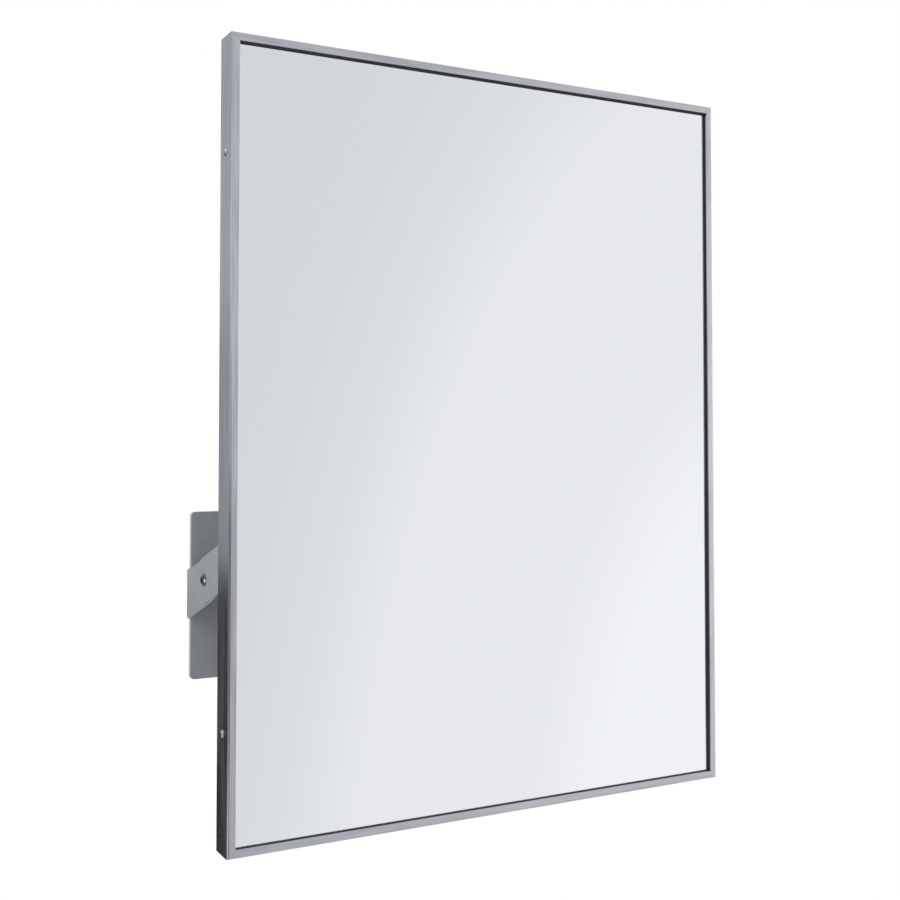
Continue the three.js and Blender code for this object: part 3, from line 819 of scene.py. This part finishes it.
# %% The back tray
TRAY_FOLD_RADIUS = 1.2 * MM
TRAY_EDGE_RADIUS = 0.25 * MM
RIM_REACH = 2.5 * MM

bm = merged_copy("back_tray")
tray_low, tray_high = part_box("back_tray")


def on_tray_rim(vert):
    """True where the tray's flat back meets its flanges, on the outside."""
    past_sides = max(abs(vert.co.x) - tray_high.x, vert.co.z - tray_high.z, tray_low.z - vert.co.z)
    return abs(vert.co.y - tray_high.y) < HAIR and past_sides > -RIM_REACH


rim = [edge for edge in sharp_edges(bm) if all(on_tray_rim(vert) for vert in edge.verts)]
round_edges(bm, rim, TRAY_FOLD_RADIUS, steps=4)
round_edges(bm, sharp_edges(bm), TRAY_EDGE_RADIUS)
add_piece("back_tray_finished", bm, "mirror", galvanised, "back_tray")
print("tray with", len(rim), "folded edges")

# %% [markdown]
# The plate and the arms are cut from sheet with a laser, then painted. Their thin cut faces get
# the attribute thin_coat_and_highlight, which the powder coat reads and paints paler there: partly
# the thinner coat, partly a painted highlight. A cut face is one that leans more than 50 degrees
# from every broad face, which leaves the bend of the mirror's arms out. A broad face is one of
# more than 5 square centimetres.

# %% The wall plate and the arms
BROAD_FACE = 5e-4
CUT_LEAN = math.radians(50)


def painted_sheet(node, body, radius_mm):
    bm = merged_copy(node)
    round_edges(bm, sharp_edges(bm), radius_mm * MM, steps=3)
    bm.normal_update()
    broad = [face.normal.copy() for face in bm.faces if face.calc_area() > BROAD_FACE]
    # Marks the cut faces that the powder coat paints paler, as thin coat and as a painted
    # highlight.
    thin_coat_and_highlight = bm.loops.layers.float.new("thin_coat_and_highlight")
    for face in bm.faces:
        leans = min(face.normal.angle(normal) for normal in broad) > CUT_LEAN
        for loop in face.loops:
            loop[thin_coat_and_highlight] = 1.0 if leans else 0.0
    add_piece(f"{node}_finished", bm, body, powder_coat, node)


painted_sheet("wall_plate", "wall_bracket", radius_mm=0.6)
for side in ("left", "right"):
    painted_sheet(f"wall_arm_{side}", "wall_bracket", radius_mm=0.4)
    painted_sheet(f"mirror_arm_{side}", "mirror", radius_mm=0.4)
print("painted sheet pieces done")

# %% [markdown]
# ## Weld beads
# The wall plate ends against the inner faces of its two arms, and one bead of weld runs down
# each corner, under the paint. A bead is a row of small overlapping drops. Twenty drops joined
# by a Boolean would be slow and rough, so its outline is spun here from a line that swells and
# narrows once for each drop. The same spin makes the screws and the nylon rings further on.

# %% Spinning a profile
POLE_SNAP = 0.001 * MM


def turned(profile, steps, closed=False):
    """Spins (radius, height) points in millimetres round Z. The shell is open where the
    profile's ends are off the axis, unless the profile is closed on itself."""
    bm = bmesh.new()
    points = [bm.verts.new((radius * MM, 0, height * MM)) for radius, height in profile]
    following = points[1:] + points[:1] if closed else points[1:]
    line = [bm.edges.new(pair) for pair in zip(points, following)]
    bmesh.ops.spin(
        bm, geom=points + line, cent=(0, 0, 0), axis=(0, 0, 1), angle=math.tau,
        steps=steps, use_merge=True,
    )
    bmesh.ops.remove_doubles(bm, verts=bm.verts, dist=POLE_SNAP)
    bmesh.ops.recalc_face_normals(bm, faces=bm.faces)
    return bm


# %% [markdown]
# The sizes are in millimetres. A drop is 1.4 long, and its outline has four points, each given
# by its place along the drop and its share of the bead's radius. The first and the last drop
# are a little smaller, where the torch was still finding the joint and where it was lifted off.
# The bead's middle line lies 0.3 out of the corner, both ways.

# %% Two weld beads
DROP = 1.4
DROP_OUTLINE = ((0.15, 0.9), (0.4, 0.98), (0.65, 1.0), (0.9, 0.95))
BEAD_RADIUS = 2.1
BEAD_DROPS = 20
END_DROP = 0.92
BEAD_OFFSET = 0.3


def bead_profile():
    profile = [(0, 0)]
    for drop in range(BEAD_DROPS):
        size = END_DROP if drop in (0, BEAD_DROPS - 1) else 1.0
        for along, radius in DROP_OUTLINE:
            profile.append((BEAD_RADIUS * size * radius, DROP * (drop + along)))
    return profile + [(0, DROP * BEAD_DROPS)]


plate_low, plate_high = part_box("wall_plate")
for side, outward in (("left", -1), ("right", 1)):
    bm = turned(bead_profile(), steps=16)
    across = outward * (plate_high.x - BEAD_OFFSET * MM)
    lower_end = Vector((across, plate_low.y - BEAD_OFFSET * MM, -DROP * BEAD_DROPS / 2 * MM))
    bmesh.ops.translate(bm, verts=bm.verts, vec=lower_end)
    add_piece(f"weld_bead_{side}", bm, "wall_bracket", powder_coat)
print("weld beads of", BEAD_DROPS, "drops")

# %% [markdown]
# ## Turned fasteners
# Screws are round, so each one is spun from half of its outline. The outline stops at the edge
# of the head's flat middle. A recess is then made from a circle of few corners: six give a hex
# socket, and twelve with every third one drawn in give a cross. The circle is bridged to the
# head's open edge, pushed down into the head and closed with a shallow cone, as a punch
# leaves it. A Boolean cut would leave ragged faces round such a small hole. A thread is a row of
# rings, 0.54 of a pitch deep. A real one is a helix, which would look the same at this size and
# couldn't be spun with the rest.

# %% Outlines of a screw
THREAD_DEPTH = 0.54
PUNCH_POINT = 0.15 * MM


def dome(radius, low, high, inner, steps=7):
    """Points of a round head from its middle, at the inner radius, out and down to its rim."""
    rise = high - low
    sphere = (radius ** 2 + rise ** 2) / (2 * rise)
    radii = [inner + (radius - inner) * i / steps for i in range(steps + 1)]
    return [(r, high - sphere + math.sqrt(sphere ** 2 - r ** 2)) for r in radii]


def thread(radius, pitch, start, end):
    """Crests and roots of a thread from the start height down to the end height."""
    root = radius - THREAD_DEPTH * pitch
    points = []
    for turn in range(int((start - end) / pitch)):
        points.append((radius, start - turn * pitch))
        points.append((root, start - (turn + 0.5) * pitch))
    return points + [(root, end), (0, end)]


def press_recess(bm, bottom_height):
    """Bridges a head's open edge to the wire outline of a recess, and sinks it to a height."""
    head_edge = [edge for edge in bm.edges if edge.is_boundary]
    outline = [edge for edge in bm.edges if edge.is_wire]
    bmesh.ops.bridge_loops(bm, edges=head_edge + outline)
    walls = bmesh.ops.extrude_edge_only(bm, edges=outline)["geom"]
    for vert in (part for part in walls if isinstance(part, bmesh.types.BMVert)):
        vert.co.z = bottom_height
    rim = [edge for edge in bm.edges if edge.is_boundary]
    floor_face = bmesh.ops.contextual_create(bm, geom=rim)["faces"]
    bmesh.ops.poke(bm, faces=floor_face, offset=-PUNCH_POINT)
    bmesh.ops.recalc_face_normals(bm, faces=bm.faces)


# %% [markdown]
# Every fastener is spun at the origin with its head up Z, then turned to point out of the piece
# that it holds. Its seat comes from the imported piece's box: the far end of the box along the
# head's direction, less the height of the head. Each recess stops at its own angle, as
# tightened screws do.

# %% Placing a fastener
OUTWARD = {
    "top": Vector((0, 0, 1)),
    "right": Vector((1, 0, 0)),
    "bottom": Vector((0, 0, -1)),
    "left": Vector((-1, 0, 0)),
    "back": Vector((0, 1, 0)),
}


def seat_fastener(bm, node, body, outward, head_height, material, angle):
    low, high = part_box(node)
    half_length = abs((high - low).dot(outward)) / 2
    seat = (low + high) / 2 + outward * (half_length - head_height * MM)
    turn = outward.to_track_quat("Z", "Y").to_matrix().to_4x4()
    place = Matrix.Translation(seat) @ turn @ Matrix.Rotation(angle, 4, "Z")
    bmesh.ops.transform(bm, matrix=place, verts=bm.verts)
    return add_piece(f"{node}_turned", bm, body, material, node)


# %% [markdown]
# The frame's eight screws have low pan heads 5.4 mm across, so that they stand only 1.5 mm
# proud of the rail. The photograph shows a light and a dark speck in each head, which is what a
# cross recess gives from a metre away. All their sizes are in millimetres.

# %% Frame screws with a cross recess
PAN_RADIUS = 2.7
PAN_RIM = 0.3
PAN_HEIGHT = 1.5
PAN_FACE = 1.5
TAPPING_RADIUS = 1.45
TAPPING_PITCH = 0.9
TAPPING_START = -0.6
TAPPING_END = -9.5
CROSS_REACH = 1.4
CROSS_WAIST = 0.37
CROSS_BOTTOM = 0.4


def frame_screw():
    head = dome(PAN_RADIUS, PAN_RIM, PAN_HEIGHT, PAN_FACE)
    shank = [(PAN_RADIUS, 0.0), (TAPPING_RADIUS, 0.0)]
    tapping = thread(TAPPING_RADIUS, TAPPING_PITCH, TAPPING_START, TAPPING_END)
    bm = turned(head + shank + tapping, steps=32)
    cross = bmesh.ops.create_circle(bm, segments=12, radius=CROSS_REACH * MM)["verts"]
    half_step = Matrix.Rotation(math.tau / 24, 3, "Z")
    bmesh.ops.rotate(bm, verts=cross, cent=(0, 0, 0), matrix=half_step)
    bmesh.ops.scale(bm, verts=cross[1::3], vec=(CROSS_WAIST, CROSS_WAIST, 1))
    for corner in cross:
        reach = corner.co.xy.length / MM
        corner.co.z = dome(PAN_RADIUS, PAN_RIM, PAN_HEIGHT, reach)[0][1] * MM
    press_recess(bm, CROSS_BOTTOM * MM)
    return bm


frame_screws = [node for node in sorted(nodes) if node.startswith("frame_screw_")]
for number, node in enumerate(frame_screws):
    side = node.split("_")[2]
    seat_fastener(
        frame_screw(), node, "mirror", OUTWARD[side], PAN_HEIGHT,
        bright_stainless, angle=0.7 * number,
    )
print(len(frame_screws), "frame screws")

# %% [markdown]
# The pivot bolts and the screws of the arms' feet are M5 button heads with a hex socket. One
# function makes both, from the standard's sizes in millimetres: a head 9.5 across and 2.75
# high, a socket 3 across its flats, and a thread with a pitch of 0.8. The bolts also go into a
# collection of their own, which the next step needs.

# %% Socket screws: pivot bolts and arm screws
M5_RADIUS = 2.5
M5_PITCH = 0.8
M5_THREAD_START = -0.9
BUTTON_RADIUS = 4.75
BUTTON_RIM = 0.45
BUTTON_HEIGHT = 2.75
BUTTON_FACE = 2.3
UNDER_BUTTON = [(4.7, 0.12), (4.55, 0.0), (M5_RADIUS, 0.0)]
SOCKET_FLATS = 3
SOCKET_DEPTH = 1.6
PIVOT_BOLT_LENGTH = 12
ARM_SCREW_LENGTH = 10


def button_head_screw(length):
    head = dome(BUTTON_RADIUS, BUTTON_RIM, BUTTON_HEIGHT, BUTTON_FACE)
    shank = thread(M5_RADIUS, M5_PITCH, M5_THREAD_START, -length)
    bm = turned(head + UNDER_BUTTON + shank, steps=48)
    socket_radius = SOCKET_FLATS / math.sqrt(3) * MM
    for corner in bmesh.ops.create_circle(bm, segments=6, radius=socket_radius)["verts"]:
        corner.co.z = head[0][1] * MM
    press_recess(bm, (BUTTON_HEIGHT - SOCKET_DEPTH) * MM)
    return bm


pivot_bolts = bpy.data.collections.new("pivot_bolts")
for number, side in enumerate(("left", "right")):
    bolt = seat_fastener(
        button_head_screw(PIVOT_BOLT_LENGTH), f"pivot_bolt_{side}", "wall_bracket",
        OUTWARD[side], BUTTON_HEIGHT, black_oxide, angle=0.3 + number,
    )
    pivot_bolts.objects.link(bolt)
    for row, end in enumerate(("upper", "lower")):
        seat_fastener(
            button_head_screw(ARM_SCREW_LENGTH), f"arm_screw_{side}_{end}", "mirror",
            OUTWARD["back"], BUTTON_HEIGHT, blue_zinc,
            angle=0.5 + number + 2 * row,
        )
print("pivot bolts and arm screws done")

# %% [markdown]
# The pivot bolts are nearly black, so only a lamp of their own gives their round heads the white
# spot that the photograph shows. Light linking keeps it off everything else, as a black flag
# beside a studio lamp would.

# %% A glint on the pivot bolts
glint = soft_lamp("glint_lamp", place=(-1.09, -0.47, -0.18), size=0.6, power=10)
glint.visible_glossy = True
glint.light_linking.receiver_collection = pivot_bolts

# %% [markdown]
# Each lock nut grips the bolt with a nylon ring, pressed into the mouth of its round collar. It
# is spun from a closed outline of (radius, height) points in millimetres, so that the bolt has
# room in its middle.

# %% Nylon rings
NYLON_RING = [(2.5, -0.6), (3.0, -0.6), (3.0, 0.0), (2.9, 0.1), (2.65, 0.1), (2.5, 0.0)]

for side, inward in (("left", OUTWARD["right"]), ("right", OUTWARD["left"])):
    low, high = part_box(f"lock_nut_{side}")
    mouth = (low + high) / 2 + inward * abs((high - low).dot(inward)) / 2
    bm = turned(NYLON_RING, steps=32, closed=True)
    turn = inward.to_track_quat("Z", "Y").to_matrix().to_4x4()
    bmesh.ops.transform(bm, matrix=Matrix.Translation(mouth) @ turn, verts=bm.verts)
    add_piece(f"nylon_ring_{side}", bm, "wall_bracket", nylon)
print("nylon rings done")
